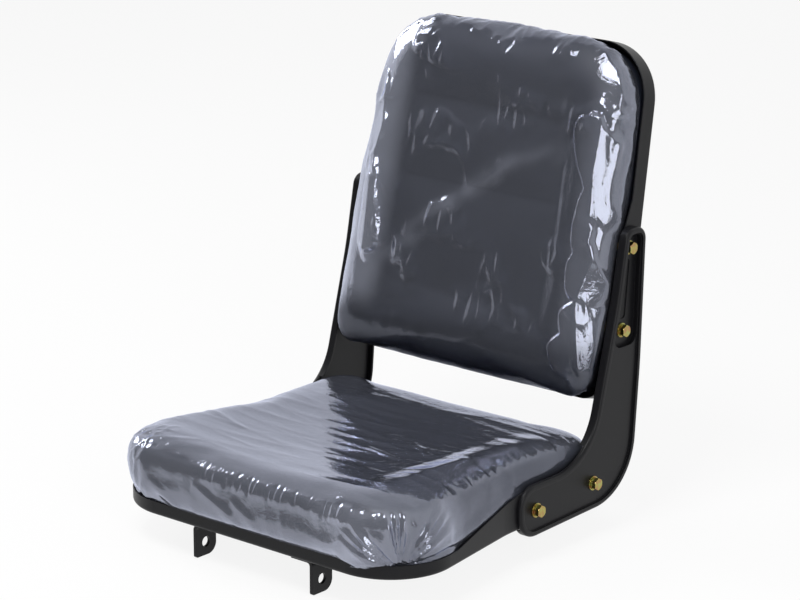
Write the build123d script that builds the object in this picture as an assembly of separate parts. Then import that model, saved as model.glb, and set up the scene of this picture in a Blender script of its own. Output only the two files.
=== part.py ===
from build123d import *
import os
from math import cos, radians, sin

# Tractor seat: two padded steel pans joined by a pair of pressed arms.
#
# Millimetres. X is to the right seen from the front, Y backwards, Z up. The origin is the middle of the
# hinge-pin axis through the two lugs under the front edge. Inside the functions Y is measured from the
# front face of the seat pan and Z from its underside, and every piece is moved to the origin at the end.

# Hinge lugs
HINGE_BACK = 25.5
HINGE_DROP = 25.5
HINGE_HOLE_R = 6.25
LUG_SPACING = 180.0
LUG_SHEET = 4.0
LUG_WIDTH = 33.0
LUG_BELOW_HOLE = 16.0
LUG_FOOT = 32.0
LUG_BEND_R = 4.0
LUG_FRONT_R = 3.0
LUG_REAR_R = 13.0

# Seat pan
PAN_SHEET = 1.5
PAN_BEND_R = 3.0
PAN_FRONT_HALF = 238.0
PAN_REAR_HALF = 206.0
PAN_DEPTH = 386.0
PAN_STRAIGHT = 170.0
PAN_CORNER_R = 77.0
PAN_REAR_R = 8.0
TAPER_BLEND_R = 160.0
PAN_RIM = 17.0
PAN_EAR = 44.0
PAN_EAR_START = 104.0
PAN_EAR_LENGTH = 142.0
PAN_EAR_STEP = 8.0
EAR_BLEND_R = 30.0
EAR_END_R = 14.0

# Back pan, in its own plane: across, up the back, and forwards from its front rim. Its foot stands
# behind the rear edge of the seat pan
BACK_RECLINE = 14.7
BACK_BEHIND = 2.0
BACK_FOOT_Z = 114.0
BACK_HEAD_HALF = 184.5
BACK_HEIGHT = 416.0
BACK_TAPER_START = 205.0
BACK_FOOT_R = 28.0
BACK_HEAD_R = 70.0
BACK_DEPTH = 25.0
EAR_MARGIN = 11.0
EAR_RUN = 45.0

# Arms: outline corners as (distance behind the seat pan, Z, corner radius), from the top down the front
# edge and round
ARM_OUTLINE = (
    (35.5, 316.0, 14.0),
    (19.0, 230.0, 500.0),
    (-29.5, 50.5, 78.0),
    (-157.5, 50.5, 26.0),
    (-156.0, -13.0, 28.0),
    (53.5, -6.5, 76.0),
    (66.5, 150.0, 700.0),
    (73.0, 316.0, 16.0),
)
ARM_SHEET = 2.5
ARM_RIM_WIDTH = 6.5
ARM_RIM_RISE = 3.0
ARM_BEND_R = 3.5
ARM_FLANGE_CLEARANCE = 0.5
ARM_POCKET_DEPTH = 6.0
ARM_POCKET_FOOT = 176.0
ARM_POCKET_R = 14.0
ARM_POCKET_INSET = 1.0
ARM_GROOVE_WIDTH = 11.0
ARM_GROOVE_DEPTH = 1.2
ARM_GROOVE_GAP = 16.0
EAR_CLEARANCE = 1.0
CUSHION_ROOM = 72.0

# Arm bolts, M8: where they stand on the arm, as (distance behind the seat pan, Z)
SEAT_BOLTS_AT = ((-125.5, 18.5), (-19.5, 23.0))
BACK_BOLTS_AT = ((37.5, 195.0), (48.0, 292.5))
BOLT_R = 4.0
BOLT_HOLE_R = 4.5
BOLT_HEAD_FLATS = 13.0
BOLT_HEAD_HEIGHT = 5.3
BOLT_PAST_NUT = 1.0
NUT_HEIGHT = 6.5
NUT_BORE_CLEARANCE = 0.1
WASHER_R = 8.5
WASHER_THICK = 1.6
SPRING_WASHER_R = 7.2
SPRING_WASHER_THICK = 2.0
SPRING_WASHER_SLIT = 1.2
HEX_TURNED = 0.57
HEX_CHAMFER = 0.12

# Boards and their M6 screws: screw places as (across, along) in each pan's plane
BOARD_THICK = 9.0
BOARD_CLEARANCE = 0.5
SEAT_SCREWS_AT = ((120.0, 110.0), (120.0, 300.0))
BACK_SCREWS_AT = ((105.0, 105.0), (105.0, 315.0))
SCREW_R = 3.0
SCREW_HOLE_R = 3.4
SCREW_HEAD_FLATS = 10.0
SCREW_HEAD_HEIGHT = 4.0
SCREW_WASHER_R = 6.0
SCREW_WASHER_THICK = 1.2
TEE_NUT_R = 9.0
TEE_NUT_FLANGE = 1.2
TEE_NUT_BARREL_R = 4.0
TEE_NUT_BORE_CLEARANCE = 0.1

# Cushions: foam moulded in a vinyl skin, one piece each. A skirt wraps the edge of the board and stands
# on the floor of the pan, clear of the bend and of the arm nuts
SKIRT_WALL = 3.0
SKIRT_CLEARANCE = 1.0
NUT_CLEARANCE = 1.5
CUSHION_REAR_R = 30.0
CUSHION_HEAD_R = 80.0
SKIRT_IN = PAN_SHEET + PAN_BEND_R + SKIRT_CLEARANCE
NUT_ROOM = PAN_SHEET + NUT_HEIGHT + BOLT_PAST_NUT + NUT_CLEARANCE
BOARD_TOP = PAN_SHEET + BOARD_THICK

# Seat cushion: height, then how far inside the pan's outline the front, the sides at the front, the
# sides at the rear and the rear edge lie, then the fall towards the rear in degrees
SEAT_SKIRT = (SKIRT_IN, SKIRT_IN, NUT_ROOM, SKIRT_IN)
SEAT_SECTIONS = (
    (BOARD_TOP, *SEAT_SKIRT, 0.0),
    (17.0, 4.0, 4.0, NUT_ROOM, 4.5, 0.0),
    (28.0, -5.0, -1.0, NUT_ROOM, 0.0, 0.1),
    (46.0, -8.0, -5.0, 4.0, -4.0, 0.3),
    (64.0, -7.0, -4.0, 4.5, -3.0, 0.7),
    (76.0, -3.0, 1.0, 8.0, 1.0, 1.1),
    (82.0, 5.0, 9.0, 14.0, 8.0, 1.4),
    (84.5, 18.0, 22.0, 27.0, 20.0, 1.5),
)
SEAT_DISH_DEPTH = 8.0
SEAT_DISH_R = 1700.0
SEAT_DISH_AT = 200.0

# Back cushion: distance forwards of the rim, then how far inside the pan's outline the foot, the lower
# sides, the upper sides and the head lie. From its widest section a round edge runs in to the flat face
BACK_SKIRT = (SKIRT_IN, NUT_ROOM, SKIRT_IN, SKIRT_IN)
BACK_NECK = (9.0, 3.0, NUT_ROOM, 4.0, 3.0)
BACK_WIDEST = (17.0, -1.0, 3.0, 3.0, 0.0)
BACK_EDGE_IN = 46.0
BACK_EDGE_RISE = 24.0
BACK_EDGE_STEPS = 6

# Channels pressed in the face of the back cushion, which mark out three pads between two side bolsters
CHANNEL_R = 6.0
CHANNEL_DEPTH = 3.0
CHANNEL_SIDE = 118.0
CHANNEL_FOOT = 60.0
CHANNEL_HEAD = 345.0
CHANNEL_RUNGS = (90.0, 218.0, 316.0)

# Places behind the seat pan, as Y
SEAT_BOLTS = [(PAN_DEPTH + behind, z) for behind, z in SEAT_BOLTS_AT]
BACK_BOLTS = [(PAN_DEPTH + behind, z) for behind, z in BACK_BOLTS_AT]
PAN_EAR_END = PAN_DEPTH - PAN_EAR_STEP
PAN_EAR_FULL = PAN_EAR_END - PAN_EAR_LENGTH
BACK_FOOT_Y = PAN_DEPTH + BACK_BEHIND

# Planes across the arm, from the middle outwards: the pocket sinks in to meet the back pan
BACK_HALF = PAN_REAR_HALF - ARM_POCKET_DEPTH
PANEL_IN = PAN_REAR_HALF
PANEL_OUT = PANEL_IN + ARM_SHEET
RIM_OUT = PANEL_OUT + ARM_RIM_RISE
POCKET_IN = BACK_HALF
POCKET_OUT = POCKET_IN + ARM_SHEET
FLANGE_END = BACK_HALF + ARM_FLANGE_CLEARANCE

RECLINE = radians(BACK_RECLINE)
BACK_PLANE = Plane((0, BACK_FOOT_Y, BACK_FOOT_Z), x_dir=(1, 0, 0), z_dir=(0, -cos(RECLINE), sin(RECLINE)))
FAR = 1000.0


def outline(corners):
    """Flat face from (x, y, corner radius) points."""
    points = [(x, y) for x, y, _ in corners]
    return make_face(FilletPolyline(*points, radius=[r for _, _, r in corners], close=True))


def both_sides(half):
    """Closes a right-hand half outline with its mirror image."""
    return outline(half + [(-x, y, r) for x, y, r in reversed(half)])


def seat_outline(front=0.0, front_side=0.0, rear_side=0.0, rear=0.0, rear_radius=PAN_REAR_R):
    """Plan of the seat pan, drawn in by the given amounts."""
    return both_sides([
        (PAN_REAR_HALF - rear_side, PAN_DEPTH - rear, rear_radius),
        (PAN_REAR_HALF - rear_side, PAN_DEPTH - PAN_STRAIGHT, TAPER_BLEND_R),
        (PAN_FRONT_HALF - front_side, front, PAN_CORNER_R),
    ])


def back_outline(foot=0.0, low_side=0.0, high_side=0.0, head=0.0, head_radius=BACK_HEAD_R):
    """Front view of the back pan in its own plane, drawn in by the given amounts."""
    return both_sides([
        (BACK_HALF - low_side, foot, BACK_FOOT_R),
        (BACK_HALF - low_side, BACK_TAPER_START, TAPER_BLEND_R),
        (BACK_HEAD_HALF - high_side, BACK_HEIGHT - head, head_radius),
    ])


def slab(face, low, high, along=Vector(0, 0, 1)):
    """Solid from a flat shape, between two levels along a direction."""
    return Location(along * low) * extrude(face, high - low, dir=along)


def cross_slab(face, low, high):
    """Solid from a shape drawn in the side view, between two levels along X."""
    return slab(face, low, high, Vector(1, 0, 0))


def tray(face, floor, top):
    """Sheet-metal tray with a rounded bend between its floor and its wall."""
    outside = slab(face, floor, top)
    outside = fillet(outside.edges().group_by(Axis.Z)[0], PAN_BEND_R + PAN_SHEET)
    inside = slab(offset(face, -PAN_SHEET), floor + PAN_SHEET, top + PAN_SHEET)
    inside = fillet(inside.edges().group_by(Axis.Z)[0], PAN_BEND_R)
    return outside - inside


def across(corners):
    """Prism right across the seat from (Y, Z, corner radius) points."""
    return extrude(Plane.YZ * outline(corners), FAR, both=True)


def bolt_holes(places, radius):
    """Cylinders across the seat at the given (Y, Z) places."""
    return [Pos(0, y, z) * Rot(Y=90) * Cylinder(radius, FAR) for y, z in places]


def screw_places(places):
    """Both sides of a list of (across, along) places."""
    return [(side * x, y) for x, y in places for side in (1, -1)]


def upright_holes(places, radius):
    """Cylinders through a pan's floor and board at the screw places."""
    return [Pos(x, y, 0) * Cylinder(radius, FAR) for x, y in screw_places(places)]


def seat_pan():
    """Tray with a low rim all round that rises into an ear beside each arm."""
    above_rim = across([
        (-FAR, PAN_RIM, 0),
        (PAN_EAR_START, PAN_RIM, EAR_BLEND_R),
        (PAN_EAR_FULL, PAN_EAR, EAR_BLEND_R),
        (PAN_EAR_END, PAN_EAR, EAR_END_R),
        (PAN_EAR_END, PAN_RIM, 0),
        (FAR, PAN_RIM, 0),
        (FAR, FAR, 0),
        (-FAR, FAR, 0),
    ])
    pan = tray(seat_outline(), 0, PAN_EAR) - above_rim
    return pan - bolt_holes(SEAT_BOLTS, BOLT_HOLE_R) - upright_holes(SEAT_SCREWS_AT, SCREW_HOLE_R)


def back_pan():
    """Tray open to the front, its side walls deepened round the arm bolts."""
    bolts = [BACK_PLANE.to_local_coords(Vector(0, y, z)) for y, z in BACK_BOLTS]
    ear_low = min(b.Y for b in bolts) - EAR_MARGIN
    ear_high = max(b.Y for b in bolts) + EAR_MARGIN
    ear = max(b.Z for b in bolts) + EAR_MARGIN
    above_rim = across([
        (-FAR, 0, 0),
        (ear_low - EAR_RUN, 0, EAR_BLEND_R),
        (ear_low, ear, EAR_BLEND_R),
        (ear_high, ear, EAR_BLEND_R),
        (ear_high + EAR_RUN, 0, EAR_BLEND_R),
        (FAR, 0, 0),
        (FAR, FAR, 0),
        (-FAR, FAR, 0),
    ])
    pan = tray(back_outline(), -BACK_DEPTH, ear) - above_rim
    pan -= upright_holes(BACK_SCREWS_AT, SCREW_HOLE_R)
    return BACK_PLANE.location * pan - bolt_holes(BACK_BOLTS, BOLT_HOLE_R)


def hinge_lug():
    """Right-hand lug: a hanging plate with the pin hole, its foot turned in under the pan."""
    outer = LUG_SPACING / 2 + LUG_SHEET / 2
    foot_end = outer - LUG_FOOT
    low = -HINGE_DROP - LUG_BELOW_HOLE
    bend = LUG_BEND_R + LUG_SHEET
    section = outline([
        (foot_end, 0, 0),
        (outer, 0, bend),
        (outer, low, 0),
        (outer - LUG_SHEET, low, 0),
        (outer - LUG_SHEET, -LUG_SHEET, LUG_BEND_R),
        (foot_end, -LUG_SHEET, 0),
    ])
    front = HINGE_BACK - LUG_WIDTH / 2
    rear = HINGE_BACK + LUG_WIDTH / 2
    side = across([
        (front, LUG_SHEET, 0),
        (front, low, LUG_FRONT_R),
        (rear, low, LUG_REAR_R),
        (rear, LUG_SHEET, 0),
    ])
    bent = extrude(Plane.XZ * section, -FAR)
    return bent & side - bolt_holes([(HINGE_BACK, -HINGE_DROP)], HINGE_HOLE_R)


def arm():
    """Right-hand arm: dished sheet with a turned-in flange, a raised rim and a pocket for the back bolts."""
    face = Plane.YZ * outline([(PAN_DEPTH + behind, z, r) for behind, z, r in ARM_OUTLINE])
    outside = cross_slab(face, FLANGE_END, RIM_OUT)
    outside = fillet(outside.edges().group_by(Axis.X)[-1], ARM_BEND_R)
    inside = cross_slab(offset(face, -ARM_SHEET), FLANGE_END - ARM_SHEET, RIM_OUT - ARM_SHEET)
    panel = offset(face, -ARM_RIM_WIDTH)
    step = offset(face, ARM_SHEET - ARM_RIM_WIDTH)
    body = outside - inside + cross_slab(step, PANEL_IN, RIM_OUT - ARM_SHEET)
    body -= cross_slab(panel, PANEL_OUT, RIM_OUT + ARM_SHEET)

    upper = Plane.YZ * Pos(0, ARM_POCKET_FOOT + FAR / 2) * Rectangle(FAR, FAR)
    pocket = offset(panel, -ARM_POCKET_INSET) & upper
    pocket = fillet(pocket.vertices().group_by(Axis.Z)[0], ARM_POCKET_R)
    body += cross_slab(offset(pocket, ARM_SHEET), POCKET_IN, PANEL_OUT)
    body -= cross_slab(pocket, POCKET_OUT, RIM_OUT + ARM_SHEET)

    low, high = (Vector(0, y, z) for y, z in BACK_BOLTS)
    run = (high - low).normalized() * ARM_GROOVE_GAP
    ends = Polyline(low + run, high - run)
    tilt = Plane(ends @ 0.5, x_dir=ends % 0.5, z_dir=(1, 0, 0))
    groove = tilt * SlotOverall(ends.length + ARM_GROOVE_WIDTH / 2, ARM_GROOVE_WIDTH)
    body -= cross_slab(groove, POCKET_OUT - ARM_GROOVE_DEPTH, POCKET_OUT)

    ear_room = across([
        (-FAR, -EAR_CLEARANCE, 0),
        (PAN_DEPTH + EAR_CLEARANCE, -EAR_CLEARANCE, 0),
        (PAN_DEPTH + EAR_CLEARANCE, CUSHION_ROOM, 0),
        (-FAR, CUSHION_ROOM, 0),
    ])
    body -= ear_room & Pos(PANEL_IN - FAR / 2, 0, 0) * Box(FAR, FAR, FAR)
    return body - bolt_holes(SEAT_BOLTS + BACK_BOLTS, BOLT_HOLE_R)


def ring(outer, inner, low, high):
    """Flat ring between two levels along Z."""
    return slab(Circle(outer) - Circle(inner), low, high)


def hexagon(flats, low, high):
    """Hexagonal prism between two levels along Z, with its corners turned off at both ends."""
    prism = slab(RegularPolygon(flats / 2, 6, major_radius=False), low, high)
    turned = slab(Circle(flats * HEX_TURNED), low, high)
    return prism & chamfer(turned.edges(), (high - low) * HEX_CHAMFER)


def arm_fasteners():
    """Right-hand bolts, spring washers, washers and nuts, each a group of four."""
    groups = {"arm_bolts": [], "arm_spring_washers": [], "arm_washers": [], "arm_nuts": []}
    seats = [(place, PANEL_OUT, PAN_REAR_HALF) for place in SEAT_BOLTS]
    seats += [(place, POCKET_OUT, BACK_HALF) for place in BACK_BOLTS]
    for (y, z), seat, wall in seats:
        outwards = Pos(0, y, z) * Rot(Y=90)
        nut_top = wall - PAN_SHEET
        nut_end = nut_top - NUT_HEIGHT
        spring = seat + WASHER_THICK
        head = spring + SPRING_WASHER_THICK
        slit = Pos(0, SPRING_WASHER_R, head) * Box(SPRING_WASHER_SLIT, SPRING_WASHER_R * 2, FAR)
        shank = slab(Circle(BOLT_R), nut_end - BOLT_PAST_NUT, head)
        bore = slab(Circle(BOLT_R + NUT_BORE_CLEARANCE), nut_end, nut_top)
        bolt_head = hexagon(BOLT_HEAD_FLATS, head, head + BOLT_HEAD_HEIGHT)
        spring_ring = ring(SPRING_WASHER_R, BOLT_HOLE_R, spring, head)
        groups["arm_bolts"].append(outwards * (bolt_head + shank))
        groups["arm_spring_washers"].append(outwards * (spring_ring - slit))
        groups["arm_washers"].append(outwards * ring(WASHER_R, BOLT_HOLE_R, seat, spring))
        groups["arm_nuts"].append(outwards * (hexagon(BOLT_HEAD_FLATS, nut_end, nut_top) - bore))
    return groups


def board_fixings(name, places, floor):
    """Screws, washers and tee nuts that hold a board on the floor of its pan, in the pan's plane."""
    under = floor - SCREW_WASHER_THICK
    board_low = floor + PAN_SHEET
    flange_low = board_low + BOARD_THICK - TEE_NUT_FLANGE
    bore = SCREW_R + TEE_NUT_BORE_CLEARANCE
    pieces = {
        "screws": hexagon(SCREW_HEAD_FLATS, under - SCREW_HEAD_HEIGHT, under)
        + slab(Circle(SCREW_R), under, flange_low),
        "screw_washers": ring(SCREW_WASHER_R, SCREW_HOLE_R, under, floor),
        "tee_nuts": ring(TEE_NUT_R, bore, flange_low, flange_low + TEE_NUT_FLANGE)
        + ring(TEE_NUT_BARREL_R, bore, board_low, flange_low),
    }
    return {f"{name}_{kind}": [Pos(x, y, 0) * piece for x, y in screw_places(places)]
            for kind, piece in pieces.items()}


def board_room(skirt, floor):
    """The space inside a cushion's skirt, which the board fills."""
    return slab(offset(skirt, -SKIRT_WALL), floor + PAN_SHEET, floor + BOARD_TOP)


def board(skirt, places, floor):
    """Plywood base on the floor of a pan, bored for the tee nuts."""
    low = floor + PAN_SHEET
    flange_low = low + BOARD_THICK - TEE_NUT_FLANGE
    panel = board_room(skirt, floor)
    hole = slab(Circle(TEE_NUT_BARREL_R + BOARD_CLEARANCE), low, flange_low)
    hole += slab(Circle(TEE_NUT_R + BOARD_CLEARANCE), flange_low, low + BOARD_THICK)
    return panel - [Pos(x, y, 0) * hole for x, y in screw_places(places)]


def skirted(cushion, skirt, floor):
    """Adds the skirt that reaches from a cushion to the floor of its pan, hollow for the board."""
    return cushion + slab(skirt, floor + PAN_SHEET, floor + BOARD_TOP) - board_room(skirt, floor)


def seat_skirt():
    """Plan of the seat cushion's skirt."""
    return seat_outline(*SEAT_SKIRT, CUSHION_REAR_R)


def back_skirt():
    """Front view of the back cushion's skirt."""
    return back_outline(*BACK_SKIRT, CUSHION_HEAD_R)


def seat_cushion():
    """Moulded seat cushion: flared over the rim, square-shouldered, falling to the rear and dished."""
    sections = []
    for height, front, front_side, rear_side, rear, fall in SEAT_SECTIONS:
        face = seat_outline(front, front_side, rear_side, rear, CUSHION_REAR_R)
        sections.append(Pos(0, 0, height) * Rot(X=-fall) * face)
    top = SEAT_SECTIONS[-1][0] - SEAT_DISH_AT * sin(radians(SEAT_SECTIONS[-1][-1]))
    dish = Pos(0, SEAT_DISH_AT, top - SEAT_DISH_DEPTH + SEAT_DISH_R) * Sphere(SEAT_DISH_R)
    return skirted(loft(sections) - dish, seat_skirt(), 0)


def back_cushion():
    """Moulded back cushion in the back's plane, with channels pressed into its face."""
    widest, *insets = BACK_WIDEST
    sections = [(BOARD_TOP - BACK_DEPTH, *BACK_SKIRT), BACK_NECK]
    for step in range(BACK_EDGE_STEPS + 1):
        turn = radians(90) * step / BACK_EDGE_STEPS
        drawn_in = BACK_EDGE_IN * (1 - cos(turn))
        sections.append((widest + BACK_EDGE_RISE * sin(turn), *(inset + drawn_in for inset in insets)))
    form = loft([Pos(0, 0, level) * back_outline(*insets, CUSHION_HEAD_R) for level, *insets in sections],
                ruled=True)
    form = skirted(form, back_skirt(), -BACK_DEPTH)
    axis = widest + BACK_EDGE_RISE + CHANNEL_R - CHANNEL_DEPTH
    length = CHANNEL_HEAD - CHANNEL_FOOT
    upright = Pos(0, CHANNEL_FOOT + length / 2, axis) * Rot(X=90) * Cylinder(CHANNEL_R, length)
    level = Pos(0, 0, axis) * Rot(Y=90) * Cylinder(CHANNEL_R, 2 * CHANNEL_SIDE)
    form -= [Pos(side, 0, 0) * upright for side in (CHANNEL_SIDE, -CHANNEL_SIDE)]
    return form - [Pos(0, rung, 0) * level for rung in CHANNEL_RUNGS]


def pieces():
    """Lists of solids by node name, in the seat pan's coordinates."""
    made = {
        "seat_pan": [seat_pan()],
        "seat_board": [board(seat_skirt(), SEAT_SCREWS_AT, 0)],
        "seat_cushion": [seat_cushion()],
        "back_pan": [back_pan()],
    }
    made |= board_fixings("seat", SEAT_SCREWS_AT, 0)
    in_back = {
        "back_board": [board(back_skirt(), BACK_SCREWS_AT, -BACK_DEPTH)],
        "back_cushion": [back_cushion()],
    }
    in_back |= board_fixings("back", BACK_SCREWS_AT, -BACK_DEPTH)
    for name, group in in_back.items():
        made[name] = [BACK_PLANE.location * solid for solid in group]
    for name, group in ({"arm": [arm()], "hinge_lug": [hinge_lug()]} | arm_fasteners()).items():
        made[f"{name}_right"] = group
        made[f"{name}_left"] = [mirror(solid, Plane.YZ) for solid in group]
    return made


os.makedirs("parts", exist_ok=True)
to_origin = Pos(0, -HINGE_BACK, HINGE_DROP)
for name, group in pieces().items():
    solids = [to_origin * solid for piece in group for solid in piece.solids()]
    export_step(solids[0] if len(solids) == 1 else Compound(solids), f"parts/{name}.step")
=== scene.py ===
# A tractor seat: steel pans and arms, their fixings, vinyl cushions, and the clear film they are sold in
import math

import bmesh
import bpy
import numpy as np
from mathutils import Matrix, Vector, noise
from mathutils.bvhtree import BVHTree


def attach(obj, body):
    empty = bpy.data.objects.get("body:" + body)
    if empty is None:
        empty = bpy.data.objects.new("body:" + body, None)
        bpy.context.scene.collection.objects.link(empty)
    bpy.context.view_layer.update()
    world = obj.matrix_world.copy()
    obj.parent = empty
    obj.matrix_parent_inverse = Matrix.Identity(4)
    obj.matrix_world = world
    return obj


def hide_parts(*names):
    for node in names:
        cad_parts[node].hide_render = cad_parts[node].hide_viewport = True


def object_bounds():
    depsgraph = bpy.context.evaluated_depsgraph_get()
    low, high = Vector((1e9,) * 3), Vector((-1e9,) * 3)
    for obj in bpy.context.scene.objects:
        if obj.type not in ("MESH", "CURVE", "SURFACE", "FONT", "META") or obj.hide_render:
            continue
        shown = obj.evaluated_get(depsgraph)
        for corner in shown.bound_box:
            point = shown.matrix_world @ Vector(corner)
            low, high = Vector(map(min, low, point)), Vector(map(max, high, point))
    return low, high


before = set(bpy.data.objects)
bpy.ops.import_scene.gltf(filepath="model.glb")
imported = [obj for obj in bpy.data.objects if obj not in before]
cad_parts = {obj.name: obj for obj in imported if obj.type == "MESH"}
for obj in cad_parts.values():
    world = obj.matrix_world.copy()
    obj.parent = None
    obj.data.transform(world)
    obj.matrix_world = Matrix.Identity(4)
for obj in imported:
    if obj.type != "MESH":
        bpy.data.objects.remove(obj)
cad_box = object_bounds()
scene = bpy.context.scene

# Pans, arms and hinge lugs: mild steel sheet, pressed to shape, bolted together after painting.
# Stoved black powder coat, semi-gloss: it takes soft highlights and shows a fine orange peel.
MM = 0.001
PAINTED_NODES = ("seat_pan", "back_pan", "arm_left", "arm_right", "hinge_lug_left", "hinge_lug_right")
PAINT_BLACK = "#101012"
PAINT_WORN = "#17171a"
PAINT_ROUGH = (0.32, 0.42)
PEEL_SIZE = 1.6 * MM
CLOUD_SIZE = 60 * MM
SHEET_EDGE_R = 0.7 * MM


def colour(code):
    """Turns an sRGB hex colour to linear RGBA."""
    channels = [int(code[i:i + 2], 16) / 255 for i in (1, 3, 5)]
    return (*[c / 12.92 if c <= 0.04045 else ((c + 0.055) / 1.055) ** 2.4 for c in channels], 1.0)


def add(tree, kind, inputs=(), **settings):
    """Adds a node with its settings, and sets or links the inputs given."""
    made = tree.nodes.new("ShaderNode" + kind)
    for name, value in settings.items():
        setattr(made, name, value)
    for socket, value in dict(inputs).items():
        if isinstance(value, bpy.types.NodeSocket):
            tree.links.new(value, made.inputs[socket])
        else:
            made.inputs[socket].default_value = value
    return made


def new_material(name):
    """An empty material: its node tree, its output, and the piece's own coordinates."""
    material = bpy.data.materials.new(name)
    material.use_nodes = True
    tree = material.node_tree
    tree.nodes.clear()
    return material, tree, add(tree, "OutputMaterial"), add(tree, "TexCoord").outputs["Object"]


def finish_piece(piece, material):
    """Gives every face of a piece that material."""
    piece.data.materials.clear()
    piece.data.materials.append(material)


def powder_coat():
    """Powder coat on pressed sheet: a cloudy gloss, orange peel, and edges that look rounded."""
    material, tree, output, place = new_material("black_powder_coat")
    peel = add(tree, "TexNoise", {"Vector": place, "Scale": 1 / PEEL_SIZE, "Detail": 1.0})
    cloud = add(tree, "TexNoise", {"Vector": place, "Scale": 1 / CLOUD_SIZE, "Detail": 3.0})
    shade = add(tree, "Mix", {0: cloud.outputs[0], 6: colour(PAINT_BLACK), 7: colour(PAINT_WORN)},
                data_type="RGBA")
    gloss = add(tree, "MapRange", {0: cloud.outputs[0], 3: PAINT_ROUGH[0], 4: PAINT_ROUGH[1]})
    edge = add(tree, "Bevel", {"Radius": SHEET_EDGE_R}, samples=4)
    bump = add(tree, "Bump", {"Height": peel.outputs[0], "Strength": 0.12, "Distance": 0.05 * MM,
                              "Normal": edge.outputs[0]})
    paint = add(tree, "BsdfPrincipled", {
        "Base Color": shade.outputs[2],
        "Roughness": gloss.outputs[0],
        "Specular IOR Level": 0.2,
        "Normal": bump.outputs[0],
    })
    tree.links.new(paint.outputs[0], output.inputs[0])
    return material


black_powder_coat = powder_coat()
for name in PAINTED_NODES:
    finish_piece(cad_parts[name], black_powder_coat)

# Boards: birch plywood, sawn to the shape of each pan. The cover is stapled round them and
# tee nuts are driven in from the cushion's side.
BOARD_NODES = ("seat_board", "back_board")
BIRCH_PALE = "#d8b98a"
BIRCH_DARK = "#b98f5c"
BIRCH_FIGURE = 14 * MM


def plywood():
    """Peeled birch veneer, sanded: a long soft figure along the board, with little gloss."""
    material, tree, output, place = new_material("birch_plywood")
    turn = add(tree, "Mapping", {"Vector": place, "Scale": (1.0, 0.08, 1.0)})
    figure = add(tree, "TexNoise", {"Vector": turn.outputs[0], "Scale": 1 / BIRCH_FIGURE, "Detail": 5.0,
                                    "Distortion": 0.6})
    shade = add(tree, "Mix", {0: figure.outputs[0], 6: colour(BIRCH_PALE), 7: colour(BIRCH_DARK)},
                data_type="RGBA")
    bump = add(tree, "Bump", {"Height": figure.outputs[0], "Strength": 0.2, "Distance": 0.1 * MM})
    wood = add(tree, "BsdfPrincipled", {
        "Base Color": shade.outputs[2],
        "Roughness": 0.6,
        "Normal": bump.outputs[0],
    })
    tree.links.new(wood.outputs[0], output.inputs[0])
    return material


birch_plywood = plywood()
for name in BOARD_NODES:
    finish_piece(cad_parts[name], birch_plywood)

# Fixings: M8 bolts, spring washers, washers and nuts on the arms, M6 screws and tee nuts on the boards.
# Cold-headed steel, zinc plated and yellow chromated: a bright gold that drifts to green and pink.
FIXING_NODES = [name for name in sorted(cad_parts)
                if name not in PAINTED_NODES + BOARD_NODES and not name.endswith("_cushion")]
CHROMATE_GOLD = "#ad9c58"
CHROMATE_GREEN = "#a5a868"
CHROMATE_PINK = "#a8825f"
CHROMATE_PATCH = 5 * MM
PLATING_GRAIN = 0.4 * MM
FIXING_EDGE_R = 0.5 * MM


def yellow_chromate():
    """Bright zinc under a chromate film, whose colour drifts in small patches."""
    material, tree, output, place = new_material("yellow_chromated_zinc")
    patch = add(tree, "TexNoise", {"Vector": place, "Scale": 1 / CHROMATE_PATCH, "Detail": 2.0})
    tint = add(tree, "ValToRGB", {0: patch.outputs[0]})
    ramp = tint.color_ramp
    ramp.elements[0].position = 0.36
    ramp.elements[0].color = colour(CHROMATE_GREEN)
    ramp.elements[1].position = 0.66
    ramp.elements[1].color = colour(CHROMATE_PINK)
    ramp.elements.new(0.5).color = colour(CHROMATE_GOLD)
    grain = add(tree, "TexNoise", {"Vector": place, "Scale": 1 / PLATING_GRAIN, "Detail": 1.0})
    edge = add(tree, "Bevel", {"Radius": FIXING_EDGE_R}, samples=4)
    bump = add(tree, "Bump", {"Height": grain.outputs[0], "Strength": 0.15, "Distance": 0.05 * MM,
                              "Normal": edge.outputs[0]})
    zinc = add(tree, "BsdfPrincipled", {
        "Base Color": tint.outputs[0],
        "Metallic": 1.0,
        "Roughness": 0.3,
        "Normal": bump.outputs[0],
    })
    tree.links.new(zinc.outputs[0], output.inputs[0])
    return material


yellow_zinc = yellow_chromate()
for name in FIXING_NODES:
    finish_piece(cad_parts[name], yellow_zinc)

# Seat cushion: a moulded foam pad under a slate-blue vinyl cover, stapled to its board.
# The foam swells the cover into a crown, and the sides draw in a little between the corners.
VINYL_SLATE = "#2b303e"
VINYL_SHADE = "#252935"
VINYL_GRAIN = 1.2 * MM
CUSHION_VOXEL = 5 * MM
SWELL_FRAMES = 20
SEAT_PRESSURE = 4.0
SEAT_SWELL_CAP = 5 * MM
PAN_TOP = 43 * MM
SEAT_BOARD_FACE = Vector((0.0, 0.0, 36 * MM))
SKIRT_DEPTH = 9 * MM
SKIRT_WALL = 3 * MM
UP = Vector((0.0, 0.0, 1.0))


def mesh_points(piece):
    """The places of a piece's vertices, as an array."""
    flat = np.empty(len(piece.data.vertices) * 3)
    piece.data.vertices.foreach_get("co", flat)
    return flat.reshape(-1, 3)


def place_points(piece, points):
    """Moves a piece's vertices to those places."""
    piece.data.vertices.foreach_set("co", points.ravel())
    piece.data.update()


def bake(piece):
    """Makes what the piece's modifiers show its own mesh, and leaves it without modifiers."""
    shown = piece.evaluated_get(bpy.context.evaluated_depsgraph_get())
    mesh = bpy.data.meshes.new_from_object(shown)
    piece.modifiers.clear()
    piece.data = mesh


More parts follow.
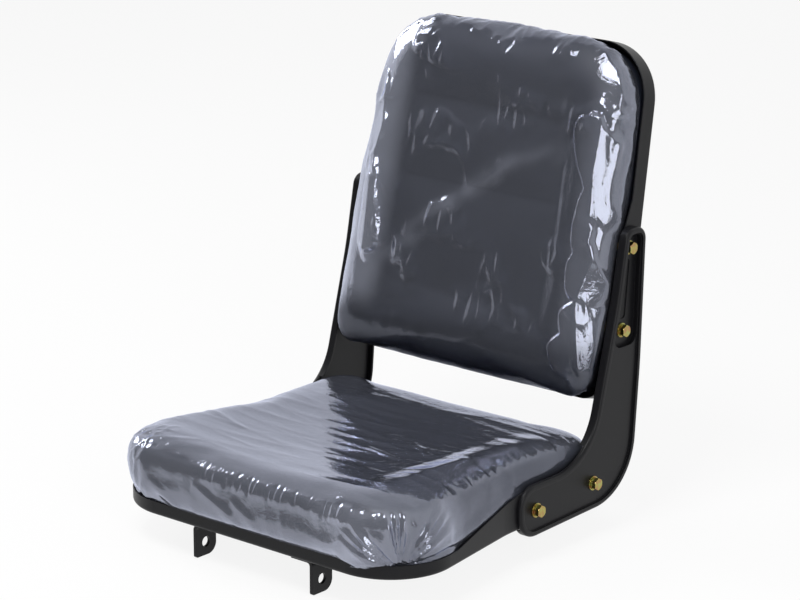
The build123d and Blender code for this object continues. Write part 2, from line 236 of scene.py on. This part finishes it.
def draw_out(solid, caps, move):
    """Pulls flat faces of a solid straight out, and gives the moved faces."""
    pulled = bmesh.ops.extrude_face_region(solid, geom=caps)["geom"]
    bmesh.ops.delete(solid, geom=caps, context="FACES_ONLY")
    corners = [part for part in pulled if isinstance(part, bmesh.types.BMVert)]
    bmesh.ops.translate(solid, verts=corners, vec=move)
    return [part for part in pulled if isinstance(part, bmesh.types.BMFace)]


def cut_and_cap(solid, at, facing):
    """Takes away what lies behind a plane, and gives the flat faces that close the cut."""
    bmesh.ops.bisect_plane(solid, geom=solid.verts[:] + solid.edges[:] + solid.faces[:],
                           plane_co=at, plane_no=facing, clear_inner=True)
    rim = [edge for edge in solid.edges if edge.is_boundary]
    return bmesh.ops.holes_fill(solid, edges=rim)["faces"]


def even_mesh(source, name, voxel, foot=None, facing=None):
    """A copy of a mesh as a new piece with an even grid of faces, and with no pocket behind its foot."""
    piece = bpy.data.objects.new(name, source.data.copy())
    scene.collection.objects.link(piece)
    loose = bmesh.new()
    loose.from_mesh(piece.data)
    bmesh.ops.remove_doubles(loose, verts=loose.verts, dist=0.01 * MM)
    if foot is not None:
        draw_out(loose, cut_and_cap(loose, foot + facing * 0.2 * MM, facing), facing * -SKIRT_DEPTH)
    loose.to_mesh(piece.data)
    loose.free()
    grid = piece.modifiers.new("grid", "REMESH")
    grid.mode = "VOXEL"
    grid.voxel_size = voxel
    grid.use_smooth_shade = True
    bake(piece)
    return piece


def relax(piece, turns, share=0.5):
    """Smooths a piece's grid."""
    grid = bmesh.new()
    grid.from_mesh(piece.data)
    for _ in range(turns):
        bmesh.ops.smooth_vert(grid, verts=grid.verts, factor=share,
                              use_axis_x=True, use_axis_y=True, use_axis_z=True)
    grid.to_mesh(piece.data)
    grid.free()


def swell(piece, held, pressure, cap):
    """Inflates a piece by cloth simulation. Held vertices stay, and no other moves more than the cap."""
    before = mesh_points(piece)
    group = piece.vertex_groups.new(name="held")
    group.add([int(i) for i in np.flatnonzero(held)], 1.0, "REPLACE")
    cloth = piece.modifiers.new("swell", "CLOTH")
    cloth.settings.use_pressure = True
    cloth.settings.uniform_pressure_force = pressure
    cloth.settings.effector_weights.gravity = 0.0
    cloth.settings.vertex_group_mass = group.name
    cloth.point_cache.frame_end = SWELL_FRAMES
    for step in range(1, SWELL_FRAMES + 1):
        scene.frame_set(step)
    bake(piece)
    scene.frame_set(1)
    piece.vertex_groups.clear()
    move = mesh_points(piece) - before
    length = np.linalg.norm(move, axis=1, keepdims=True)
    place_points(piece, before + move * np.minimum(1.0, cap / np.maximum(length, 1e-9)))


def turn_skirt_down(piece, foot, facing):
    """Makes a pad finer, ends it at its board's face, and draws its cover down round the board's edge."""
    fine = piece.modifiers.new("fine", "SUBSURF")
    fine.levels = fine.render_levels = 1
    bake(piece)
    solid = bmesh.new()
    solid.from_mesh(piece.data)
    base = draw_out(solid, cut_and_cap(solid, foot, facing), facing * -SKIRT_DEPTH)
    bmesh.ops.inset_region(solid, faces=base, thickness=SKIRT_WALL, use_even_offset=True)
    draw_out(solid, base, facing * SKIRT_DEPTH)
    bmesh.ops.recalc_face_normals(solid, faces=solid.faces)
    solid.to_mesh(piece.data)
    solid.free()


def vinyl():
    """Calendered vinyl on cloth: a fine embossed grain breaks up its sheen."""
    material, tree, output, place = new_material("slate_vinyl")
    grain = add(tree, "TexVoronoi", {"Vector": place, "Scale": 1 / VINYL_GRAIN}, feature="DISTANCE_TO_EDGE")
    cloud = add(tree, "TexNoise", {"Vector": place, "Scale": 1 / CLOUD_SIZE, "Detail": 3.0})
    shade = add(tree, "Mix", {0: cloud.outputs[0], 6: colour(VINYL_SLATE), 7: colour(VINYL_SHADE)},
                data_type="RGBA")
    bump = add(tree, "Bump", {"Height": grain.outputs[0], "Strength": 0.3, "Distance": 0.15 * MM})
    cover = add(tree, "BsdfPrincipled", {
        "Base Color": shade.outputs[2],
        "Roughness": 0.5,
        "IOR": 1.5,
        "Normal": bump.outputs[0],
    })
    tree.links.new(cover.outputs[0], output.inputs[0])
    return material


slate_vinyl = vinyl()
seat_pad = even_mesh(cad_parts["seat_cushion"], "seat_vinyl_cushion", CUSHION_VOXEL,
                     SEAT_BOARD_FACE, UP)
relax(seat_pad, 3)
swell(seat_pad, mesh_points(seat_pad)[:, 2] < PAN_TOP, SEAT_PRESSURE, SEAT_SWELL_CAP)
relax(seat_pad, 2)
turn_skirt_down(seat_pad, SEAT_BOARD_FACE, UP)
finish_piece(seat_pad, slate_vinyl)
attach(seat_pad, "root")
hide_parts("seat_cushion")

# Back cushion: the same foam and vinyl, with seams welded through the cover as channels.
# The panels between the channels stand proud, and the sides slope in to the pan.
RECLINE = math.radians(14.7)
BACK_FOOT = Vector((0.0, 362.5 * MM, 139.5 * MM))
BACK_UP = Vector((0.0, math.sin(RECLINE), math.cos(RECLINE)))
BACK_OUT = Vector((0.0, -math.cos(RECLINE), math.sin(RECLINE)))
BACK_BOARD_FACE = BACK_FOOT - BACK_OUT * 14.5 * MM
BACK_PRESSURE = 4.0
BACK_SWELL_CAP = 5 * MM
CHANNEL_HALF = 5 * MM
CHANNEL_SIDE = 118 * MM
CHANNEL_FOOT = 60 * MM
CHANNEL_HEAD = 345 * MM
CHANNEL_RUNGS = (90 * MM, 218 * MM, 316 * MM)
CHANNEL_LEAST_OUT = 30 * MM


def on_back(points):
    """Points as across, up the back, and out from its front rim."""
    off = points - np.array(BACK_FOOT)
    return points[:, 0], off @ np.array(BACK_UP), off @ np.array(BACK_OUT)


def near_channel(across, up):
    """Distance from each point of the back's face to the nearest channel."""
    beyond = np.maximum(np.maximum(CHANNEL_FOOT - up, up - CHANNEL_HEAD), 0.0)
    nearest = np.hypot(np.abs(across) - CHANNEL_SIDE, beyond)
    aside = np.maximum(np.abs(across) - CHANNEL_SIDE, 0.0)
    for rung in CHANNEL_RUNGS:
        nearest = np.minimum(nearest, np.hypot(up - rung, aside))
    return nearest


back_pad = even_mesh(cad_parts["back_cushion"], "back_vinyl_cushion", CUSHION_VOXEL,
                     BACK_BOARD_FACE, BACK_OUT)
relax(back_pad, 2)
across, up, out = on_back(mesh_points(back_pad))
sunk = (near_channel(across, up) < CHANNEL_HALF) & (out > CHANNEL_LEAST_OUT)
swell(back_pad, sunk | (out < 0.0), BACK_PRESSURE, BACK_SWELL_CAP)
relax(back_pad, 1)
turn_skirt_down(back_pad, BACK_BOARD_FACE, BACK_OUT)
finish_piece(back_pad, slate_vinyl)
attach(back_pad, "root")
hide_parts("back_cushion")

# Seat film: a bag of clear polythene, drawn tight over the cushion and tucked inside the rim of the pan.
# It lies a millimetre off the vinyl, gathers at the front corners, and creases where it is pulled.
FILM_VOXEL = 4 * MM
FILM_LIFT = 1.0 * MM
FILM_LEAST_GAP = 0.5 * MM
FILM_ROUGH = 0.05
FILM_INDEX = 1.5
FILM_HAZE = 0.05
FILM_TINT = "#dce1f4"
FILM_CREASE = 7 * MM
SEAT_FILM_CUT = 39.5 * MM
# Each fold: the places that it runs through, its half width and its height, in millimetres.
SEAT_FOLDS = (
    (((-150, -15, 108), (-185, -5, 90), (-200, 0, 65)), 9, 4.0),
    (((-195, -5, 100), (-160, -8, 107), (-110, 15, 110)), 8, 2.5),
    (((-150, -28, 70), (-100, -28, 45)), 9, 2.0),
    (((-80, -28, 80), (-5, -30, 50)), 10, 2.0),
    (((-20, -28, 75), (30, -30, 48)), 10, 1.5),
    (((-195, 110, 108), (-110, 90, 108)), 8, 1.5),
    (((30, 145, 100), (95, 130, 101)), 7, 1.5),
    (((55, 195, 100), (120, 155, 102)), 7, 1.5),
    (((165, 0, 108), (160, 105, 106), (168, 190, 106), (175, 295, 102)), 38, 6.0),
)
# Where the pleats start: along the corner's diagonal and up, in millimetres.
PLEAT_FOOT = (148, 40)
PLEATS = 10


def film_over(pad, name, cut_at, cut_facing, bridging):
    """A skin over a cushion, open past the cutting plane, with its grid half the voxel."""
    film = even_mesh(pad, name, FILM_VOXEL)
    relax(film, bridging)
    grid = bmesh.new()
    grid.from_mesh(film.data)
    bmesh.ops.bisect_plane(grid, geom=grid.verts[:] + grid.edges[:] + grid.faces[:],
                           plane_co=cut_at, plane_no=cut_facing, clear_inner=True)
    grid.to_mesh(film.data)
    grid.free()
    finer = film.modifiers.new("finer", "SUBSURF")
    finer.levels = finer.render_levels = 1
    bake(film)
    return film


def facing(piece):
    """The outward directions at a piece's vertices."""
    flat = np.empty(len(piece.data.vertices) * 3)
    piece.data.vertex_normals.foreach_get("vector", flat)
    return flat.reshape(-1, 3)


def stand_off(film, pad, rise):
    """Lifts the film by its own rise at each vertex, and keeps it the least gap clear of the cushion."""
    points = mesh_points(film) + facing(film) * rise[:, None]
    surface = BVHTree.FromObject(pad, bpy.context.evaluated_depsgraph_get())
    for i, point in enumerate(points):
        nearest, outward, _, _ = surface.find_nearest(Vector(point))
        short = FILM_LEAST_GAP - (Vector(point) - nearest).dot(outward)
        if short > 0.0:
            points[i] = Vector(point) + outward * short
    place_points(film, points)


def ripple(points, lengths, seed):
    """Smooth noise from -1 to 1 with the given wavelength along each axis."""
    scaled = points / np.array(lengths) + seed * 7.3
    return np.array([noise.noise(Vector(p)) for p in scaled])


def ramp(value, start, end):
    """Goes smoothly from 0 at the start to 1 at the end."""
    share = np.clip((value - start) / (end - start), 0.0, 1.0)
    return share * share * (3.0 - 2.0 * share)


def fold(places, path, width, height):
    """A ridge along a path through flat places, that fades at both ends."""
    path = np.array(path) * MM
    spans = np.linalg.norm(np.diff(path, axis=0), axis=1)
    total = spans.sum()
    closest = np.full(len(places), np.inf)
    along = np.zeros(len(places))
    for start, end, span, before in zip(path, path[1:], spans, np.cumsum(spans) - spans):
        share = np.clip(((places - start) @ (end - start)) / span ** 2, 0.0, 1.0)
        away = np.linalg.norm(places - start - share[:, None] * (end - start), axis=1)
        nearer = away < closest
        closest[nearer] = away[nearer]
        along[nearer] = before + share[nearer] * span
    fade = np.sin(np.pi * np.clip(along / total, 0.0, 1.0)) ** 0.5
    return height * MM * fade * np.maximum(0.0, 1.0 - closest / (width * MM)) ** 1.3


def crumple(points, lengths, seed):
    """Straight sharp ridges between flat facets, from 0 to 1, with facets of the given lengths."""
    spread = [noise.voronoi(Vector(p))[0] for p in points / np.array(lengths) + seed * 7.3]
    return np.array([max(0.0, 1.0 - 2.0 * (far - near)) for near, far, _, _ in spread])


def fan(places, foot, pleats, height):
    """Pleats that spread from one place at the rim."""
    off = places - np.array(foot) * MM
    reach = np.linalg.norm(off, axis=1)
    turn = np.arctan2(off[:, 1], off[:, 0]) / np.pi * pleats
    turn += 0.5 * np.sin(2.3 * turn) + reach / (90 * MM)
    crest = np.abs(2.0 * (turn % 1.0) - 1.0)
    return height * MM * crest * ramp(reach, 2 * MM, 14 * MM) * (1.0 - ramp(reach, 45 * MM, 78 * MM))


def write_layers_and_painted_light(film, layers_and_painted_light):
    """Writes at each vertex a layer value: the film's real layer count, raised or lowered as painted
    highlight and painted shade.
    """
    film.data.attributes.new("layers_and_painted_light", "FLOAT", "POINT").data.foreach_set("value", layers_and_painted_light)


def polythene():
    """Blown polythene film: both faces of each layer mirror, and a higher layer value looks milkier and
    shinier; that value also carries painted highlight and painted shade.
    """
    material, tree, output, place = new_material("clear_polythene")
    wrinkle = add(tree, "TexNoise", {"Vector": place, "Scale": 1 / FILM_CREASE, "Detail": 3.0,
                                     "Distortion": 1.2})
    bump = add(tree, "Bump", {"Height": wrinkle.outputs[0], "Strength": 0.25, "Distance": 1.0 * MM})
    surface = add(tree, "Fresnel", {"IOR": FILM_INDEX, "Normal": bump.outputs[0]})
    # The layer value read here is the real layer count plus painted light: raised where the film is to look
    # lit, lowered where it is to look shaded.
    layers_and_painted_light = add(tree, "Attribute", attribute_name="layers_and_painted_light").outputs["Fac"]
    faces = add(tree, "Math", {0: layers_and_painted_light, 1: 2.0}, operation="MULTIPLY")
    back = add(tree, "Math", {0: surface.outputs[0], 1: faces.outputs[0]}, operation="MULTIPLY")
    through = add(tree, "Math", {0: 1.0, 1: surface.outputs[0]}, operation="SUBTRACT")
    whole = add(tree, "Math", {0: back.outputs[0], 1: through.outputs[0]}, operation="ADD")
    mirrored = add(tree, "Math", {0: back.outputs[0], 1: whole.outputs[0]}, operation="DIVIDE")
    haze = add(tree, "Math", {0: layers_and_painted_light, 1: FILM_HAZE}, operation="MULTIPLY")
    clear = add(tree, "BsdfTransparent", {"Color": (0.97, 0.97, 0.98, 1.0)})
    gloss = add(tree, "BsdfGlossy", {"Color": colour(FILM_TINT), "Roughness": FILM_ROUGH,
                                     "Normal": bump.outputs[0]})
    milk = add(tree, "BsdfDiffuse", {"Color": colour(FILM_TINT), "Normal": bump.outputs[0]})
    body = add(tree, "MixShader", {0: haze.outputs[0], 1: clear.outputs[0], 2: milk.outputs[0]})
    film = add(tree, "MixShader", {0: mirrored.outputs[0], 1: body.outputs[0], 2: gloss.outputs[0]})
    tree.links.new(film.outputs[0], output.inputs[0])
    return material


clear_film = polythene()
seat_film = film_over(seat_pad, "seat_film", Vector((0.0, 0.0, SEAT_FILM_CUT)), UP, 4)
points = mesh_points(seat_film)
outward = facing(seat_film)
x, y, z = points.T
free = ramp(z, SEAT_FILM_CUT, SEAT_FILM_CUT + 8 * MM)
behind = ramp(y, 70 * MM, 150 * MM)
free *= 1.0 - behind * (1.0 - ramp(z, 66 * MM, 80 * MM))
top = ramp(outward[:, 2], 0.55, 0.85)
front = ramp(-outward[:, 1], 0.4, 0.8)
side = ramp(outward[:, 0], 0.2, 0.5)
streaks = (0.6 * ripple(points, (170 * MM, 30 * MM, 80 * MM), 1)
           + 0.5 * crumple(points, (130 * MM, 24 * MM, 60 * MM), 2)
           + side * 0.9 * crumple(points, (60 * MM, 15 * MM, 40 * MM), 3))
walls = (0.8 * ripple(points, (60 * MM, 60 * MM, 90 * MM), 4)
         + 1.1 * crumple(points, (45 * MM, 45 * MM, 80 * MM), 5))
gathers = ramp(z, 82 * MM, 90 * MM) * (1.0 - ramp(z, 100 * MM, 106 * MM)) * ramp(x, -90 * MM, -40 * MM)
rise = FILM_LIFT + free * MM * (top * streaks + (1.0 - top) * walls)
rise += free * front * gathers * 1.6 * MM * crumple(points, (8 * MM, 30 * MM, 26 * MM), 6)
corner = ramp(x, 90 * MM, 130 * MM) * (1.0 - ramp(y, 60 * MM, 110 * MM)) * (1.0 - top)
rise += corner * fan(np.stack([(x + y) / math.sqrt(2.0), z], axis=1), PLEAT_FOOT, PLEATS, 6.0)
left_corner = (1.0 - ramp(x, -170 * MM, -140 * MM)) * (1.0 - ramp(y, 0.0, 50 * MM))
rise += free * left_corner * 2.0 * MM * crumple(points, (16 * MM, 16 * MM, 34 * MM), 15)
for path, width, height in SEAT_FOLDS:
    rise += free * fold(points, path, width, height)
stand_off(seat_film, seat_pad, rise)
# Painted light: front-facing film gets a higher layer value, so it shows more gloss and milk, and the right
# side a lower one; only the corner pleats are real extra layers.
write_layers_and_painted_light(seat_film, 1.4 + (0.8 * front - 0.5 * side) * (1.0 - top) + 1.0 * corner)
finish_piece(seat_film, clear_film)
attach(seat_film, "root")

# Back film: the same bag over the back cushion, tucked behind the rim of its pan.
# It bridges the channels, and loose folds run down both sides and slantwise over the face.
BACK_FILM_CUT = -2 * MM
# As on the seat, but with places across, up the back and out from its rim.
BACK_FOLDS = (
    (((-170, 65, 25), (-100, 130, 38), (-65, 170, 38), (40, 255, 38), (150, 290, 30)), 20, 2.0),
    (((-120, 385, 28), (-95, 335, 38)), 9, 3.5),
    (((135, 365, 35), (205, 335, 10)), 6, 2.5),
    (((135, 365, 35), (185, 330, 22)), 6, 2.5),
    (((135, 362, 35), (160, 285, 30)), 8, 3.5),
    (((110, 350, 38), (108, 330, 38), (115, 305, 38)), 5, 1.5),
    (((125, 285, 38), (145, 45, 36)), 7, 1.5),
    (((195, 325, 12), (195, 275, 12)), 7, 3.0),
)
# Each flat: its middle and half size, across and up in millimetres, and its turn and tilt in degrees.
BACK_FLATS = (
    ((-164, 255), (18, 95), -28, 2),
    ((-154, 150), (18, 85), -27, -2),
    ((164, 285), (24, 60), 47, 2),
    ((174, 215), (24, 62), 50, 4),
    ((180, 140), (24, 62), 50, -4),
    ((184, 80), (24, 50), 52, 4),
    ((178, 40), (22, 36), 48, -4),
)
FLAT_CAP = 6 * MM


def flat(places, outward, middle, reach, turned, raised):
    """How far the film stands off where it is drawn flat, touching the cushion at one place only."""
    aside, along = ((places[:, :2] / MM - middle) / np.array(reach)).T
    aside = np.abs(aside + 0.35 * along)
    along = np.abs(along)
    beyond = np.maximum(np.maximum(aside, along), (aside + along) / 1.3)
    beyond += 0.6 * ripple(places, (25 * MM, 45 * MM, 60 * MM), middle[1] / 10)
    turned, raised = math.radians(turned), math.radians(raised)
    plane = np.array((math.sin(turned), math.sin(raised), math.cos(turned)))
    plane /= np.linalg.norm(plane)
    covered = (beyond < 1.0) & (outward[:, 2] > 0.0)
    depth = places @ plane
    gap = (depth[covered].max() - depth) / np.maximum(outward @ plane, 0.5)
    return np.where(covered, gap, 0.0) * (1.0 - ramp(beyond, 0.7, 1.0))


back_film = film_over(back_pad, "back_film", BACK_FOOT + BACK_OUT * BACK_FILM_CUT, BACK_OUT, 10)
points = mesh_points(back_film)
places = np.stack(on_back(points), axis=1)
outward = facing(back_film) @ np.stack([(1.0, 0.0, 0.0), BACK_UP, BACK_OUT], axis=1)
across, up, out = places.T
free = ramp(out, 0.0, 8 * MM)
face = ramp(outward[:, 2], 0.6, 0.9)
foot = 1.0 - ramp(up, 35 * MM, 80 * MM)
loose = (0.9 * ripple(places, (70 * MM, 70 * MM, 60 * MM), 7)
         + 0.8 * crumple(places, (70 * MM, 120 * MM, 70 * MM), 8)
         + 2.6 * crumple(places, (18 * MM, 36 * MM, 30 * MM), 9)
         * ramp(ripple(places, (50 * MM, 50 * MM, 50 * MM), 10), 0.02, 0.35))
edges = (1.2 * ripple(places, (40 * MM, 90 * MM, 40 * MM), 11)
         + 2.0 * crumple(places, (40 * MM, 90 * MM, 50 * MM), 12)
         + 1.6 * ramp(up, 270 * MM, 320 * MM) * crumple(places, (20 * MM, 30 * MM, 30 * MM), 13))
rise = FILM_LIFT + free * (1.0 - 0.8 * foot) * MM * (face * loose + (1.0 - face) * edges)
flats = [flat(places, outward, *stretch) for stretch in BACK_FLATS]
rise += ramp(out, 8 * MM, 24 * MM) * np.minimum(np.maximum.reduce(flats), FLAT_CAP)
doubled = np.zeros(len(places))
for path, width, height in BACK_FOLDS:
    ridge = fold(places, path, width, height)
    rise += free * ridge
    doubled = np.maximum(doubled, ridge / (height * MM))
doubled *= 0.6 + ripple(places, (20 * MM, 20 * MM, 40 * MM), 14)
# Painted shade: faces that look down get a lower layer value, so they show less gloss and milk.
under = ramp(-outward[:, 1], 0.2, 0.7)
stand_off(back_film, back_pad, rise)
# Painted highlight: the left side band gets three extra layers and the right band one, so they shine
# brighter; the doubled film along the folds is real. The value is also lower towards the foot of the back.
left = 1.0 - ramp(across, -150 * MM, -115 * MM)
right = ramp(across, 140 * MM, 165 * MM)
layers_and_painted_light = 1.0 + (3.0 * left + right) * (1.0 - foot) + 2.0 * doubled
write_layers_and_painted_light(back_film, layers_and_painted_light * (1.0 - 0.8 * under) * (1.0 - 0.4 * foot))
finish_piece(back_film, clear_film)
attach(back_film, "root")

# Floor, backdrop and light: a pale floor and a white backdrop behind, with a dimmer room on the camera's
# side, as in a studio. Soft boxes stand overhead, at the right and at the left.
FLOOR_SIZE = 12.0
FLOOR_WHITE = "#f4f4f4"
FLOOR_GAP = 1 * MM
FLOOR_GLOW = 0.88
FLOOR_DIM_Y = (-0.9, -0.35)
ROOM_GREY = 0.12
CEILING_GREY = 0.3
SIDE_WHITE = 0.9
AMBIENT = 0.4
SOFT_BOXES = (
    ("overhead", (0.2, -0.9, 2.3), (0.9, 0.9), 30.0),
    ("right", (2.3, -1.0, 1.0), (0.9, 1.5), 24.0),
    ("left", (-2.3, 0.2, 1.5), (0.6, 1.0), 20.0),
)
LIT_POINT = Vector((0.0, 0.25, 0.25))

ground = bmesh.new()
bmesh.ops.create_grid(ground, x_segments=1, y_segments=1, size=FLOOR_SIZE / 2,
                      matrix=Matrix.Translation((0.0, 0.0, cad_box[0].z - FLOOR_GAP)))
floor = bpy.data.objects.new("floor", bpy.data.meshes.new("floor"))
ground.to_mesh(floor.data)
ground.free()
scene.collection.objects.link(floor)
material, tree, output, place = new_material("white_floor")
matt = add(tree, "BsdfDiffuse", {"Color": colour(FLOOR_WHITE)})
glow = add(tree, "Emission", {"Color": (1.0, 1.0, 1.0, 1.0), "Strength": 1.0})
ray = add(tree, "LightPath")
seen = add(tree, "Math", {0: ray.outputs["Is Camera Ray"], 1: ray.outputs["Is Glossy Ray"]},
           operation="MAXIMUM")
depth = add(tree, "SeparateXYZ", {0: place})
near = add(tree, "MapRange", {0: depth.outputs[1], 1: FLOOR_DIM_Y[0], 2: FLOOR_DIM_Y[1],
                              3: ROOM_GREY, 4: 1.0})
mirrored = add(tree, "Math", {0: ray.outputs["Is Glossy Ray"], 1: near.outputs[0]}, operation="MULTIPLY")
bright = add(tree, "Math", {0: ray.outputs["Is Camera Ray"], 1: mirrored.outputs[0]}, operation="MAXIMUM")
tree.links.new(bright.outputs[0], glow.inputs["Strength"])
share = add(tree, "Math", {0: seen.outputs[0], 1: FLOOR_GLOW}, operation="MULTIPLY")
both = add(tree, "MixShader", {0: share.outputs[0], 1: matt.outputs[0], 2: glow.outputs[0]})
tree.links.new(both.outputs[0], output.inputs[0])
floor.data.materials.append(material)

world = bpy.data.worlds.new("studio")
world.use_nodes = True
scene.world = world
tree = world.node_tree
tree.nodes.clear()
ray = add(tree, "LightPath")
look = add(tree, "SeparateXYZ", {0: add(tree, "TexCoord").outputs["Generated"]})
behind = add(tree, "MapRange", {0: look.outputs[1], 1: -0.35, 2: 0.15, 3: ROOM_GREY, 4: 1.0},
             interpolation_type="SMOOTHSTEP")
above = add(tree, "MapRange", {0: look.outputs[2], 1: 0.2, 2: 0.8, 3: 0.0, 4: CEILING_GREY},
            interpolation_type="SMOOTHSTEP")
aside = add(tree, "MapRange", {0: look.outputs[0], 1: -0.8, 2: -0.9, 3: 0.0, 4: SIDE_WHITE})
walls = add(tree, "Math", {0: behind.outputs[0], 1: aside.outputs[0]}, operation="MAXIMUM")
around = add(tree, "Math", {0: walls.outputs[0], 1: above.outputs[0]}, operation="MAXIMUM")
mirrored = add(tree, "Math", {0: ray.outputs["Is Glossy Ray"], 1: ray.outputs["Is Transmission Ray"]},
               operation="MAXIMUM")
indirect = add(tree, "Mix", {0: mirrored.outputs[0], 2: AMBIENT, 3: around.outputs[0]}, data_type="FLOAT")
level = add(tree, "Mix", {0: ray.outputs["Is Camera Ray"], 2: indirect.outputs[0], 3: 1.0},
            data_type="FLOAT")
backdrop = add(tree, "Background", {"Color": (1.0, 1.0, 1.0, 1.0), "Strength": level.outputs[0]})
tree.links.new(backdrop.outputs[0], add(tree, "OutputWorld").inputs[0])

for name, spot, size, power in SOFT_BOXES:
    lamp = bpy.data.lights.new(name + "_soft_box", "AREA")
    lamp.shape = "RECTANGLE"
    lamp.size, lamp.size_y = size
    lamp.energy = power
    box = bpy.data.objects.new(name + "_soft_box", lamp)
    box.location = spot
    box.rotation_mode = "QUATERNION"
    box.rotation_quaternion = (LIT_POINT - Vector(spot)).to_track_quat("-Z", "Y")
    box.visible_camera = False
    scene.collection.objects.link(box)

# Camera: a long lens, low and to the seat's front right.
# Its place, turn and lens were fitted to the pans and arms.
VIEW_FROM = Vector((2.3341, -2.4666, 1.2855))
VIEW_AZIMUTH = math.radians(40.783)
VIEW_ELEVATION = math.radians(16.114)
LENS = 143.71
SENSOR_WIDTH = 36.0
view = bpy.data.cameras.new("camera")
view.lens = LENS
view.sensor_width = SENSOR_WIDTH
camera = bpy.data.objects.new("camera", view)
camera.location = VIEW_FROM
camera.rotation_euler = (math.pi / 2 - VIEW_ELEVATION, 0.0, VIEW_AZIMUTH)
scene.collection.objects.link(camera)
scene.camera = camera

scene.view_settings.view_transform = "Standard"
